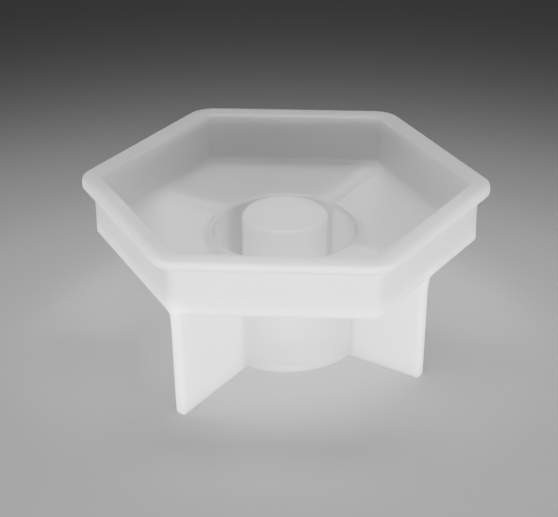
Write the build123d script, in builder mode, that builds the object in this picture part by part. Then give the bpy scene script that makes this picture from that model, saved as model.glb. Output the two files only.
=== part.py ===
from build123d import *
import os
from math import cos, radians, sin, tan

# One-piece silicone casting mould: a shallow hexagonal tray with a collar round its top, a
# round well in the middle of its floor with a core post standing in it, and four ribs that
# carry the tray. The moulding is split into its moulded features, which meet face to face.
#
# Frame: origin on the table under the centre of the post, +Z up, front towards -Y, and two
# of the tray's corners on the X axis. All lengths are in millimetres.

# ---- driving dimensions ----
overall_height = 44.5

rim_across_flats = 91.0
rim_thickness = 2.3
rim_corner_radius = 7.5
rim_edge_radius = 0.5

tray_across_flats = 84.6
tray_wall = 2.0
tray_corner_radius = 2.8
cavity_corner_radius = 1.4
cavity_edge_radius = 0.5
tray_underside = 29.0
floor_thickness = 2.3
floor_edge_radius = 0.5

well_outer_diameter = 41.0
well_wall_thickness = 2.0
well_base_thickness = 2.2
well_foot_radius = 0.8
mouth_edge_radius = 0.6

core_diameter = 22.0
core_proud = 3.9
core_edge_radius = 1.2

rib_thickness = 3.0
rib_draft = 1.3
rib_knee_drop = 7.0
rib_knee_step = 0.6
rib_edge_radius = 0.9

hexagon_sides = 6
side_turn = 360 / hexagon_sides

# ---- worked out from them ----
rim_underside = overall_height - rim_thickness
floor_top = tray_underside + floor_thickness
wall_height = rim_underside - floor_top
cavity_across_flats = tray_across_flats - 2 * tray_wall
well_outer_radius = well_outer_diameter / 2
well_radius = well_outer_radius - well_wall_thickness
core_radius = core_diameter / 2
core_top = floor_top + core_proud
core_height = core_top - well_base_thickness

# ---- where the sides and the ribs are, in degrees from +X ----
wall_angles = {
    "wall_back_right": 30,
    "wall_back": 90,
    "wall_back_left": 150,
    "wall_front_left": 210,
    "wall_front": 270,
    "wall_front_right": 330,
}
corner_rib_angles = {"rib_back_right": 60, "rib_front_left": 240}
side_rib_angles = {"rib_back_left": 150, "rib_front_right": 330}


def rounded_hexagon(across_flats, corner_radius):
    """Draw a hexagon with rounded corners, two of them on the X axis, in the open sketch."""
    RegularPolygon(radius=across_flats / 2, side_count=hexagon_sides, major_radius=False)
    fillet(vertices(), corner_radius)


def ring(inner_radius, outer_radius):
    """Draw a round ring about the Z axis in the open sketch."""
    Circle(outer_radius)
    Circle(inner_radius, mode=Mode.SUBTRACT)


def edges_at(solid, height):
    """The solid's edges that lie flat at one height."""
    return solid.edges().filter_by_position(Axis.Z, height, height)


def distance_from_axis(edge):
    """How far the middle of an edge is from the Z axis."""
    middle = edge.center()
    return Vector(middle.X, middle.Y).length


def make_rim_flange():
    """Collar round the top of the tray, which takes in the top of the walls."""
    with BuildPart() as rim:
        with BuildSketch(Plane.XY.offset(rim_underside)):
            rounded_hexagon(rim_across_flats, rim_corner_radius)
        extrude(amount=rim_thickness)
        fillet(edges_at(rim, overall_height) + edges_at(rim, rim_underside), rim_edge_radius)
        with BuildSketch(Plane.XY.offset(rim_underside)):
            rounded_hexagon(cavity_across_flats, cavity_corner_radius)
        extrude(amount=rim_thickness, mode=Mode.SUBTRACT)
        inner_top_edges = edges_at(rim, overall_height).sort_by(distance_from_axis)
        fillet(inner_top_edges[: 2 * hexagon_sides], cavity_edge_radius)
    return rim.part


def make_wall(angle):
    """One side of the tray from the floor to the rim, mitred where it meets its neighbours."""
    reach = rim_across_flats
    start = radians(angle - side_turn / 2)
    end = radians(angle + side_turn / 2)
    with BuildPart() as wall:
        with BuildSketch(Plane.XY.offset(floor_top)):
            rounded_hexagon(tray_across_flats, tray_corner_radius)
        extrude(amount=wall_height)
        with BuildSketch(Plane.XY.offset(floor_top)):
            rounded_hexagon(cavity_across_flats, cavity_corner_radius)
        extrude(amount=wall_height, mode=Mode.SUBTRACT)
        with BuildSketch(Plane.XY.offset(floor_top)):
            with BuildLine():
                start_corner = (reach * cos(start), reach * sin(start))
                end_corner = (reach * cos(end), reach * sin(end))
                Polyline((0, 0), start_corner, end_corner, close=True)
            make_face()
        extrude(amount=wall_height, mode=Mode.INTERSECT)
    return wall.part


def make_tray_floor():
    """Flat floor under the walls, with the mouth of the well in it."""
    with BuildPart() as floor:
        with BuildSketch(Plane.XY.offset(tray_underside)):
            rounded_hexagon(tray_across_flats, tray_corner_radius)
        extrude(amount=floor_thickness)
        fillet(edges_at(floor, tray_underside), floor_edge_radius)
        with BuildSketch(Plane.XY.offset(tray_underside)):
            Circle(well_radius)
        extrude(amount=floor_thickness, mode=Mode.SUBTRACT)
        mouth_edge = edges_at(floor, floor_top).filter_by(GeomType.CIRCLE).sort_by(distance_from_axis)[:1]
        fillet(mouth_edge, mouth_edge_radius)
    return floor.part


def make_well_wall():
    """Round wall from the base of the well up to the underside of the tray."""
    with BuildPart() as wall:
        with BuildSketch(Plane.XY.offset(well_base_thickness)):
            ring(well_radius, well_outer_radius)
        extrude(amount=tray_underside - well_base_thickness)
    return wall.part


def make_well_base():
    """Closed bottom of the well, which rests on the table."""
    with BuildPart() as base:
        with BuildSketch():
            Circle(well_outer_radius)
        extrude(amount=well_base_thickness)
        fillet(edges_at(base, 0), well_foot_radius)
    return base.part


def make_core_post():
    """Solid core post, standing on the bottom of the well, with a rounded top edge."""
    with BuildPart() as post:
        with BuildSketch(Plane.XY.offset(well_base_thickness)):
            Circle(core_radius)
        extrude(amount=core_height)
        fillet(edges_at(post, core_top), core_edge_radius)
    return post.part


def make_rib(angle, top_reach):
    """Upright rib from the well wall out to the tray's outer face, flared under the tray."""
    knee_height = tray_underside - rib_knee_drop
    knee_reach = top_reach - rib_knee_step
    foot_reach = knee_reach - knee_height * tan(radians(rib_draft))
    rib_plane = Plane(
        origin=(0, 0, 0),
        x_dir=(cos(radians(angle)), sin(radians(angle)), 0),
        z_dir=(sin(radians(angle)), -cos(radians(angle)), 0),
    )
    with BuildPart() as rib:
        with BuildSketch(rib_plane):
            with BuildLine():
                Line((0, tray_underside), (0, 0))
                Line((0, 0), (foot_reach, 0))
                outer_edge = Line((foot_reach, 0), (knee_reach, knee_height))
                TangentArc(outer_edge @ 1, (top_reach, tray_underside), tangent=outer_edge % 1)
                Line((top_reach, tray_underside), (0, tray_underside))
            make_face()
        extrude(amount=rib_thickness / 2, both=True)
        Cylinder(
            radius=well_outer_radius,
            height=tray_underside,
            align=(Align.CENTER, Align.CENTER, Align.MIN),
            mode=Mode.SUBTRACT,
        )
        across = Axis((0, 0, 0), rib_plane.z_dir)
        long_edges = rib.edges().filter_by(across, reverse=True)
        end_edges = long_edges.filter_by(lambda edge: distance_from_axis(edge) > foot_reach)
        foot_edges = edges_at(rib, 0).filter_by(GeomType.LINE)
        fillet(end_edges + foot_edges, rib_edge_radius)
    return rib.part


def save(part, name):
    """Label a finished piece and write it to its own file."""
    part.label = name
    export_step(part, f"parts/{name}.step")


os.makedirs("parts", exist_ok=True)

save(make_rim_flange(), "rim_flange")
for wall_name, wall_angle in wall_angles.items():
    save(make_wall(wall_angle), wall_name)
save(make_tray_floor(), "tray_floor")

save(make_well_wall(), "well_wall")
save(make_well_base(), "well_base")
save(make_core_post(), "core_post")

tray_side_reach = tray_across_flats / 2 - floor_edge_radius
corner_inset = tray_corner_radius * (1 / cos(radians(side_turn / 2)) - 1)
tray_corner_reach = tray_across_flats / 2 / cos(radians(side_turn / 2)) - corner_inset - floor_edge_radius
for rib_name, rib_angle in corner_rib_angles.items():
    save(make_rib(rib_angle, tray_corner_reach), rib_name)
for rib_name, rib_angle in side_rib_angles.items():
    save(make_rib(rib_angle, tray_side_reach), rib_name)
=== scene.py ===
from math import cos, radians, sin, tan

import bpy
import numpy as np
from mathutils import Matrix, Vector


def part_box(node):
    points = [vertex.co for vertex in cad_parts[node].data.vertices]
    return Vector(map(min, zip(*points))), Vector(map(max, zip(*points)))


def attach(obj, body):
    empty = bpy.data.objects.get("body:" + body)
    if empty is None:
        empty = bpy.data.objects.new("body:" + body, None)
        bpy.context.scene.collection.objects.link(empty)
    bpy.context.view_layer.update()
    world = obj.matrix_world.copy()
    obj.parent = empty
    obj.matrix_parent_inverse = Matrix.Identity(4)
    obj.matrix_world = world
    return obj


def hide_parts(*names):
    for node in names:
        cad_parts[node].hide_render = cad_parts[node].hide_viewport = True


# A one-piece silicone casting mould on a studio table. The real mould is one moulding, so one
# continuous skin stands for all of the CAD nodes. The skin is drawn round a distance field,
# which is negative inside the silicone. Lengths are in metres.

MM = 0.001

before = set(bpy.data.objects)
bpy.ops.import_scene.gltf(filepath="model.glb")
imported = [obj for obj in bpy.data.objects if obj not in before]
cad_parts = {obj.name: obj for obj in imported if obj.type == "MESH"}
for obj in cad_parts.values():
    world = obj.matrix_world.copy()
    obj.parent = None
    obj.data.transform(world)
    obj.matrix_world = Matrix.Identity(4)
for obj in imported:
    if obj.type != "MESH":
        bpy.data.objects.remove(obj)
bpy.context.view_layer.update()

# ---- sizes read from the CAD nodes ----
rim_low, rim_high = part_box("rim_flange")
floor_low, floor_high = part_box("tray_floor")
_, well_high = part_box("well_wall")
_, base_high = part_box("well_base")
_, core_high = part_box("core_post")

TOP = rim_high.z
RIM_UNDERSIDE = rim_low.z
RIM_APOTHEM = rim_high.y
TRAY_UNDERSIDE = floor_low.z
TRAY_APOTHEM = floor_high.y
FLOOR_TOP = floor_high.z
WELL_OUTER = well_high.x
WELL_FLOOR = base_high.z
CORE_OUTER = core_high.x
CORE_TOP = core_high.z

# ---- sizes that a node's box doesn't give ----
WALL = 2.0 * MM
RIM_CORNER = 7.5 * MM
TRAY_CORNER = 2.8 * MM
CAVITY_CORNER = 1.4 * MM
RIB_THICKNESS = 3.0 * MM
RIB_DRAFT = radians(1.3)
RIB_INSET = 0.5 * MM
RIB_KNEE_DROP = 7.0 * MM
RIB_KNEE_STEP = 0.6 * MM

RIM_EDGE = 0.5 * MM
LIP_EDGE = 0.5 * MM
FLOOR_EDGE = 0.5 * MM
FOOT_EDGE = 0.8 * MM
MOUTH_EDGE = 0.6 * MM
CORE_EDGE = 1.2 * MM
RIB_EDGE = 0.9 * MM
INNER_FILLET = 0.8 * MM
OUTER_FILLET = 0.6 * MM
# How far one feature runs on inside the next, so that its own rounded edge doesn't show there.
BURIED = 1.2 * MM

HALF_SIDE = radians(30)
SIDE_REACH = TRAY_APOTHEM - RIB_INSET
CORNER_INSET = (TRAY_CORNER - RIB_INSET) * (1 / cos(HALF_SIDE) - 1)
CORNER_REACH = SIDE_REACH / cos(HALF_SIDE) - CORNER_INSET
# Each rib's direction, in degrees from +X, and how far out it reaches under the tray.
RIB_REACHES = {60: CORNER_REACH, 240: CORNER_REACH, 150: SIDE_REACH, 330: SIDE_REACH}

# ---- the skin's grid ----
# The cell keeps the skin under the 200,000 triangles at which its STL would be decimated.
CELL = 0.6 * MM
# Straight walls take taller cells, from this far past the nearest edge.
EDGE_ZONE = 1.0 * MM
WELL_CELL_HEIGHT = 1.2 * MM
TRAY_CELL_HEIGHT = 1.0 * MM
GRID_MARGIN = 0.7 * MM
SLOPE_STEP = 0.01 * MM
LEAST_SLOPE_SQUARED = 0.2
PROJECTION_ROUNDS = 4

# ---- how the thickness of the silicone is measured ----
DEPTH_REACH = 8 * MM
DEPTH_STEPS = 12
DEPTH_TILT = radians(30)
SHORTEST_RUNS = 3
THIN = 2.2 * MM
THICK = 6.7 * MM
BLUR_ROUNDS = 10
POLISH_BAND = 0.3 * MM

# ---- silicone ----
SILICONE_IOR = 1.41
SCATTER_LENGTH = 10 * MM
THIN_PASS = 0.80
THICK_PASS = 0.35
ROUGHNESS = 0.37
ROUGHNESS_SPREAD = 0.04
INNER_GLOSS = 0.35
CLOUD_SCALE = 60
GRAIN_SCALE = 900


# ---- distance fields ----
def hexagon(x, y, apothem, corner):
    """A hexagon with rounded corners, two of them on the X axis."""
    inner = apothem - corner
    x, y = np.abs(x), np.abs(y)
    past_side = 2 * np.minimum(y * sin(HALF_SIDE) - x * cos(HALF_SIDE), 0)
    x, y = x + past_side * cos(HALF_SIDE), y - past_side * sin(HALF_SIDE)
    half_length = inner * tan(HALF_SIDE)
    x = x - np.clip(x, -half_length, half_length)
    y = y - inner
    return np.hypot(x, y) * np.where(y > 0, 1, -1) - corner


def slab(z, low, high):
    """Everything between two heights."""
    return np.maximum(low - z, z - high)


def joined(a, b, fillet):
    """Both fields, with a fillet where they cross."""
    near_a, near_b = np.maximum(fillet - a, 0), np.maximum(fillet - b, 0)
    return np.maximum(fillet, np.minimum(a, b)) - np.hypot(near_a, near_b)


def shared(a, b, edge):
    """What two fields share, with its edge rounded."""
    return -joined(-a, -b, edge)


def cut(a, b, edge):
    """The first field without the second, with its edge rounded."""
    return shared(a, -b, edge)


def rib(x, y, z, angle, top_reach):
    """One upright rib of endless height, drafted towards its foot and flared under the tray."""
    out = x * cos(angle) + y * sin(angle)
    across = np.abs(y * cos(angle) - x * sin(angle)) - RIB_THICKNESS / 2
    flare = RIB_KNEE_STEP - RIB_KNEE_DROP * tan(RIB_DRAFT)
    knee = TRAY_UNDERSIDE - RIB_KNEE_DROP
    above_knee = np.clip((z - knee) / RIB_KNEE_DROP, 0, 1)
    reach = top_reach - (TRAY_UNDERSIDE - z) * tan(RIB_DRAFT) - flare * (1 - above_knee**2)
    return np.maximum(shared(across, out - reach, RIB_EDGE), -out)


def cavity(x, y, z):
    """The space that resin fills: the tray and the round well, less the core post."""
    radius = np.hypot(x, y)
    sides = hexagon(x, y, TRAY_APOTHEM - WALL, CAVITY_CORNER)
    tray = shared(sides, FLOOR_TOP - z, INNER_FILLET)
    well = shared(radius - (WELL_OUTER - WALL), WELL_FLOOR - z, INNER_FILLET)
    post = shared(radius - CORE_OUTER, z - CORE_TOP, CORE_EDGE)
    return cut(joined(tray, well, MOUTH_EDGE), post, OUTER_FILLET)


def mould(x, y, z):
    """The whole moulding."""
    radius = np.hypot(x, y)
    collar = hexagon(x, y, RIM_APOTHEM, RIM_CORNER)
    rim = shared(collar, slab(z, RIM_UNDERSIDE, TOP), RIM_EDGE)
    sides = hexagon(x, y, TRAY_APOTHEM, TRAY_CORNER)
    tray = shared(sides, slab(z, TRAY_UNDERSIDE, TOP - BURIED), FLOOR_EDGE)
    legs = radius - WELL_OUTER
    for angle, reach in RIB_REACHES.items():
        legs = joined(legs, rib(x, y, z, radians(angle), reach), OUTER_FILLET)
    legs = shared(legs, slab(z, 0, TRAY_UNDERSIDE + BURIED), FOOT_EDGE)
    solid = joined(joined(rim, tray, OUTER_FILLET), legs, OUTER_FILLET)
    return cut(solid, cavity(x, y, z), LIP_EDGE)


def gradient(field, p):
    """The direction in which a field grows at each point, and how fast."""
    parts = []
    for axis in range(3):
        ahead, behind = p.copy(), p.copy()
        ahead[:, axis] += SLOPE_STEP
        behind[:, axis] -= SLOPE_STEP
        parts.append(field(*ahead.T) - field(*behind.T))
    return np.stack(parts, 1) / (2 * SLOPE_STEP)


# ---- the skin of a field ----
def steps(low, high, size):
    """Evenly spaced positions from low to high, about size apart."""
    return np.linspace(low, high, int(round((high - low) / size)) + 1)


def corner_of(grid, i, j, k):
    """Each cell's corner i, j, k."""
    nx, ny, nz = grid.shape
    return grid[i : nx - 1 + i, j : ny - 1 + j, k : nz - 1 + k]


def crossings(values, cells, axes):
    """The mean of the points where each cell's edges cross the surface."""
    where = np.nonzero(cells)
    total = np.zeros((len(where[0]), 3))
    hits = np.zeros(len(where[0]))
    for axis in range(3):
        others = [a for a in range(3) if a != axis]
        for first in (0, 1):
            for second in (0, 1):
                offset = [0, 0, 0]
                offset[others[0]], offset[others[1]] = first, second
                start = [where[a] + offset[a] for a in range(3)]
                end = list(start)
                end[axis] = start[axis] + 1
                low, high = values[tuple(start)], values[tuple(end)]
                crossed = (low < 0) != (high < 0)
                share = np.where(crossed, low / np.where(crossed, low - high, 1), 0)
                point = np.stack([axes[a][start[a]] for a in range(3)], 1)
                point[:, axis] += share * (axes[axis][end[axis]] - axes[axis][start[axis]])
                total += point * crossed[:, None]
                hits += crossed
    return total / hits[:, None]


def quads_across(inside, index, axis):
    """A quad for each grid edge along one axis that crosses the surface."""
    solid = np.moveaxis(inside, axis, 0)
    cell = np.moveaxis(index, axis, 0)
    low, high = solid[:-1, 1:-1, 1:-1], solid[1:, 1:-1, 1:-1]
    corners = [cell[:, :-1, :-1], cell[:, 1:, :-1], cell[:, 1:, 1:], cell[:, :-1, 1:]]
    forward, backward = low & ~high, high & ~low
    # Moving the middle axis to the front mirrors the grid, which turns its quads over.
    if axis == 1:
        forward, backward = backward, forward
    facing_on = np.stack([c[forward] for c in corners], 1)
    facing_back = np.stack([c[backward] for c in corners[::-1]], 1)
    return np.concatenate([facing_on, facing_back])


def skin(field, axes):
    """Quads round the inside of a field on a grid, one vertex in each cell that it crosses."""
    values = field(*np.meshgrid(*axes, indexing="ij"))
    inside = values < 0
    count = np.zeros([n - 1 for n in inside.shape], np.int8)
    for i in (0, 1):
        for j in (0, 1):
            for k in (0, 1):
                count += corner_of(inside, i, j, k)
    cells = (count > 0) & (count < 8)
    index = np.full(cells.shape, -1)
    index[cells] = np.arange(cells.sum())
    quads = [quads_across(inside, index, axis) for axis in range(3)]
    return crossings(values, cells, axes), np.concatenate(quads)


def pulled_onto(field, p):
    """The points moved along the slope until they lie on the surface of the field."""
    for _ in range(PROJECTION_ROUNDS):
        slope = gradient(field, p)
        squared = np.maximum((slope**2).sum(1), LEAST_SLOPE_SQUARED)
        p = p - slope * (field(*p.T) / squared)[:, None]
    return p


# ---- how thick the silicone is ----
def depth_behind(field, p, out):
    """The mean of the shortest runs of solid, along the inward normal and four lines round it."""
    up, along = [[0.0, 0.0, 1.0]], [[1.0, 0.0, 0.0]]
    helper = np.where(np.abs(out[:, 2:]) < 0.9, up, along)
    side = np.cross(out, helper)
    side /= np.linalg.norm(side, axis=1)[:, None]
    across = np.cross(out, side)
    lines = [-out]
    for lean in (side, -side, across, -across):
        lines.append(-out * cos(DEPTH_TILT) + lean * sin(DEPTH_TILT))
    step = DEPTH_REACH / DEPTH_STEPS
    runs = []
    for line in lines:
        solid = np.ones(len(p), bool)
        run = np.zeros(len(p))
        for n in range(DEPTH_STEPS):
            solid &= field(*(p + line * (n + 0.5) * step).T) < 0
            run += solid * step
        runs.append(run)
    return np.sort(runs, axis=0)[:SHORTEST_RUNS].mean(axis=0)


def blurred(values, faces):
    """Each vertex's number, averaged with its neighbours' again and again."""
    share = np.bincount(faces.ravel(), minlength=len(values))
    for _ in range(BLUR_ROUNDS):
        means = np.repeat(values[faces].mean(axis=1), faces.shape[1])
        values = np.bincount(faces.ravel(), means, len(values)) / share
    return values


# ---- objects and nodes ----
def object_from(name, points, faces, normals=None):
    """A smooth mesh object in the scene."""
    mesh = bpy.data.meshes.new(name)
    mesh.from_pydata(points.tolist(), [], faces.tolist())
    mesh.shade_smooth()
    if normals is not None:
        mesh.normals_split_custom_set_from_vertices(normals.tolist())
    made = bpy.data.objects.new(name, mesh)
    bpy.context.scene.collection.objects.link(made)
    return made


def mark(mesh, name, values):
    """Store one number for each vertex, for the material to read."""
    layer = mesh.attributes.new(name, "FLOAT", "POINT")
    layer.data.foreach_set("value", values.astype(np.float32))


def new_material(name):
    """A material, its nodes and links, and its Principled shader."""
    mat = bpy.data.materials.new(name)
    mat.use_nodes = True
    nodes, links = mat.node_tree.nodes, mat.node_tree.links
    return mat, nodes, links, nodes["Principled BSDF"]


def ranged(nodes, links, source, from_low, from_high, to_low, to_high):
    """A number carried from one range to another."""
    node = nodes.new("ShaderNodeMapRange")
    node.inputs["From Min"].default_value = from_low
    node.inputs["From Max"].default_value = from_high
    node.inputs["To Min"].default_value = to_low
    node.inputs["To Max"].default_value = to_high
    links.new(source, node.inputs["Value"])
    return node.outputs["Result"]


def noise(nodes, links, place, scale, detail):
    """Smooth noise from 0 to 1."""
    node = nodes.new("ShaderNodeTexNoise")
    node.inputs["Scale"].default_value = scale
    node.inputs["Detail"].default_value = detail
    links.new(place, node.inputs["Vector"])
    return node.outputs["Fac"]


def attribute(nodes, name):
    """A number stored on the mesh by mark()."""
    node = nodes.new("ShaderNodeAttribute")
    node.attribute_name = name
    return node.outputs["Fac"]


def product(nodes, links, a, b):
    """Two colours multiplied."""
    node = nodes.new("ShaderNodeMix")
    node.data_type = "RGBA"
    node.blend_type = "MULTIPLY"
    node.inputs["Factor"].default_value = 1
    links.new(a, node.inputs["A"])
    links.new(b, node.inputs["B"])
    return node.outputs["Result"]


# ---- the mould ----
def silicone():
    """Milky silicone: blurred light passes where it is thin, and it is whiter where thick."""
    mat, nodes, links, shader = new_material("silicone")
    shader.inputs["IOR"].default_value = SILICONE_IOR
    shader.inputs["Subsurface Weight"].default_value = 1.0
    shader.inputs["Subsurface Radius"].default_value = (1.0, 1.0, 1.0)
    shader.inputs["Subsurface Scale"].default_value = SCATTER_LENGTH
    shader.inputs["Coat Roughness"].default_value = 0.12
    shader.inputs["Coat IOR"].default_value = SILICONE_IOR
    place = nodes.new("ShaderNodeTexCoord").outputs["Object"]
    passed = ranged(nodes, links, attribute(nodes, "milky"), 0, 1, THIN_PASS, THICK_PASS)
    links.new(passed, shader.inputs["Transmission Weight"])
    gloss = ranged(nodes, links, attribute(nodes, "polish"), 0, 1, 0, INNER_GLOSS)
    links.new(gloss, shader.inputs["Coat Weight"])
    tint = nodes.new("ShaderNodeMix")
    tint.data_type = "RGBA"
    tint.inputs["A"].default_value = (0.972, 0.972, 0.970, 1)
    tint.inputs["B"].default_value = (0.995, 0.995, 0.990, 1)
    links.new(noise(nodes, links, place, CLOUD_SCALE, 3), tint.inputs["Factor"])
    links.new(tint.outputs["Result"], shader.inputs["Base Color"])
    grain = noise(nodes, links, place, GRAIN_SCALE, 4)
    dull, shiny = ROUGHNESS + ROUGHNESS_SPREAD, ROUGHNESS - ROUGHNESS_SPREAD
    links.new(ranged(nodes, links, grain, 0.3, 0.7, shiny, dull), shader.inputs["Roughness"])
    bump = nodes.new("ShaderNodeBump")
    bump.inputs["Strength"].default_value = 0.02
    bump.inputs["Distance"].default_value = 0.2 * MM
    links.new(grain, bump.inputs["Height"])
    links.new(bump.outputs["Normal"], shader.inputs["Normal"])
    return mat


def grid_lines():
    """The grid's positions along each axis, close together in height only near edges."""
    xs = steps(rim_low.x - GRID_MARGIN, rim_high.x + GRID_MARGIN, CELL)
    ys = steps(rim_low.y - GRID_MARGIN, rim_high.y + GRID_MARGIN, CELL)
    well_zone = (WELL_FLOOR + EDGE_ZONE, TRAY_UNDERSIDE - EDGE_ZONE)
    wall_zone = (CORE_TOP + EDGE_ZONE, RIM_UNDERSIDE - EDGE_ZONE)
    zs = [
        steps(-GRID_MARGIN, well_zone[0], CELL)[:-1],
        steps(*well_zone, WELL_CELL_HEIGHT)[:-1],
        steps(well_zone[1], wall_zone[0], CELL)[:-1],
        steps(*wall_zone, TRAY_CELL_HEIGHT)[:-1],
        steps(wall_zone[1], TOP + GRID_MARGIN, CELL),
    ]
    return xs, ys, np.concatenate(zs)


def silicone_mould():
    """The whole moulding as one skin, marked with its thickness and its polished inside."""
    points, faces = skin(mould, grid_lines())
    points = pulled_onto(mould, points)
    slope = gradient(mould, points)
    normals = slope / np.linalg.norm(slope, axis=1)[:, None]
    made = object_from("silicone_mould", points, faces, normals)
    depth = depth_behind(mould, points, normals)
    milky = np.clip((depth - THIN) / (THICK - THIN), 0, 1)
    mark(made.data, "milky", blurred(milky, faces))
    from_cavity = np.abs(cavity(*points.T))
    mark(made.data, "polish", np.clip(1 - from_cavity / POLISH_BAND, 0, 1))
    made.data.materials.append(silicone())
    return made


body = silicone_mould()
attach(body, "root")
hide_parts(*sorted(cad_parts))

# ---- table ----
TABLE_HALF_SIZE = 3.0
TABLE_LIFT = 3.3
# The table's greys, evenly spaced across a span of distance from a centre, are painted light and
# shade. They stand for how
# # the studio light falls off: across the table from front to back, and round the mould.
# The first is painted light falloff: the table darkens from front to back.
FALLOFF_CENTRE = (0, -0.15, 0)
FALLOFF_SPAN = (0.05, 0.45)
FALLOFF_GREYS = (0.13, 0.13, 0.21, 0.07, 0.025, 0.024)
# The second is a painted pool of light: the table is lighter round the mould.
GLOW_CENTRE = (0, 0, 0)
GLOW_SPAN = (0.03, 0.11)
GLOW_GREYS = (0.75, 0.55, 0.34, 0.34, 0.28)
# The third one is painted shade: it darkens the table out where the strips of light stand just
# over it.
FRONT_CENTRE = (0, 0.17, 0)
FRONT_SPAN = (0.27, 0.34)
FRONT_GREYS = (1.0, 0.15)


def graded(nodes, links, place, centre, span, greys):
    """A grey that changes with the distance from a centre."""
    away = nodes.new("ShaderNodeVectorMath")
    away.operation = "DISTANCE"
    away.inputs[1].default_value = centre
    links.new(place, away.inputs[0])
    share = ranged(nodes, links, away.outputs["Value"], *span, 0, 1)
    shade = nodes.new("ShaderNodeValToRGB")
    links.new(share, shade.inputs["Fac"])
    ramp = shade.color_ramp
    ramp.interpolation = "B_SPLINE" if len(greys) > 2 else "EASE"
    while len(ramp.elements) < len(greys):
        ramp.elements.new(0.5)
    for n, grey in enumerate(greys):
        ramp.elements[n].position = n / (len(greys) - 1)
        ramp.elements[n].color = (grey, grey, grey, 1)
    return shade.outputs["Color"]


def table():
    """A matt table top, its grey painted with the studio light's falloff and shade."""
    half = TABLE_HALF_SIZE
    corners = np.array([(-half, -half, 0), (half, -half, 0), (half, half, 0), (-half, half, 0)])
    made = object_from("table", corners, np.array([[0, 1, 2, 3]]))
    mat, nodes, links, shader = new_material("table")
    shader.inputs["Roughness"].default_value = 0.8
    shader.inputs["Specular IOR Level"].default_value = 0.1
    place = nodes.new("ShaderNodeTexCoord").outputs["Object"]
    painted_falloff = graded(nodes, links, place, FALLOFF_CENTRE, FALLOFF_SPAN, FALLOFF_GREYS)
    glow = graded(nodes, links, place, GLOW_CENTRE, GLOW_SPAN, GLOW_GREYS)
    front = graded(nodes, links, place, FRONT_CENTRE, FRONT_SPAN, FRONT_GREYS)
    grey = product(nodes, links, product(nodes, links, painted_falloff, glow), front)
    lift = nodes.new("ShaderNodeVectorMath")
    lift.operation = "SCALE"
    lift.inputs["Scale"].default_value = TABLE_LIFT
    links.new(grey, lift.inputs[0])
    links.new(lift.outputs["Vector"], shader.inputs["Base Color"])
    made.data.materials.append(mat)
    return made


table()

# ---- light ----
STRIP_HEIGHT = 0.026
STRIP_MIDDLE = 0.014
ROOM_GREY = 0.01


def softbox(name, place, target, width, height, watts):
    """A rectangle of light that faces its target and isn't seen itself."""
    data = bpy.data.lights.new(name, "AREA")
    data.shape = "RECTANGLE"
    data.size, data.size_y = width, height
    data.energy = watts
    made = bpy.data.objects.new(name, data)
    made.location = place
    made.visible_camera = False
    made.rotation_euler = (Vector(target) - Vector(place)).to_track_quat("-Z", "Y").to_euler()
    bpy.context.scene.collection.objects.link(made)


def strip(name, x, y, width, watts):
    """A low strip of light at table level, which faces the mould's legs."""
    softbox(name, (x, y, STRIP_MIDDLE), (0, 0, STRIP_MIDDLE), width, STRIP_HEIGHT, watts)


strip("strip_front", 0.0, -0.20, 0.16, 1.4)
strip("strip_front_left", -0.17, -0.15, 0.2, 1.85)
strip("strip_front_right", 0.17, -0.15, 0.2, 2.3)
softbox("softbox_top", (0.0, 0.15, 0.6), (0, 0, 0.03), 0.4, 0.2, 6.8)

world = bpy.data.worlds.new("room")
world.use_nodes = True
room_colour = (ROOM_GREY, ROOM_GREY, ROOM_GREY, 1)
world.node_tree.nodes["Background"].inputs["Color"].default_value = room_colour
bpy.context.scene.world = world

# ---- camera: fitted to the photo's view of the rim, walls, ribs, well and post ----
TURN = Matrix.Rotation(radians(3.806), 3, "Z")
ELEVATION = radians(28.102)
ROLL = radians(-0.518)
AIM = Vector((-1.64 * MM, 0, 22.08 * MM))
DISTANCE = 425.9 * MM
FOCAL_LENGTH_MM = 106.59
SENSOR_WIDTH_MM = 36

ahead = Vector((0, cos(ELEVATION), -sin(ELEVATION)))
level = Vector((1, 0, 0))
upright = level.cross(ahead)
right = level * cos(ROLL) + upright * sin(ROLL)
up = upright * cos(ROLL) - level * sin(ROLL)
axes = Matrix((TURN @ right, TURN @ up, TURN @ -ahead)).transposed()
camera_data = bpy.data.cameras.new("camera")
camera_data.lens = FOCAL_LENGTH_MM
camera_data.sensor_width = SENSOR_WIDTH_MM
camera_data.clip_start = 10 * MM
camera = bpy.data.objects.new("camera", camera_data)
camera.matrix_world = Matrix.Translation(TURN @ (AIM - ahead * DISTANCE)) @ axes.to_4x4()
bpy.context.scene.collection.objects.link(camera)
bpy.context.scene.camera = camera
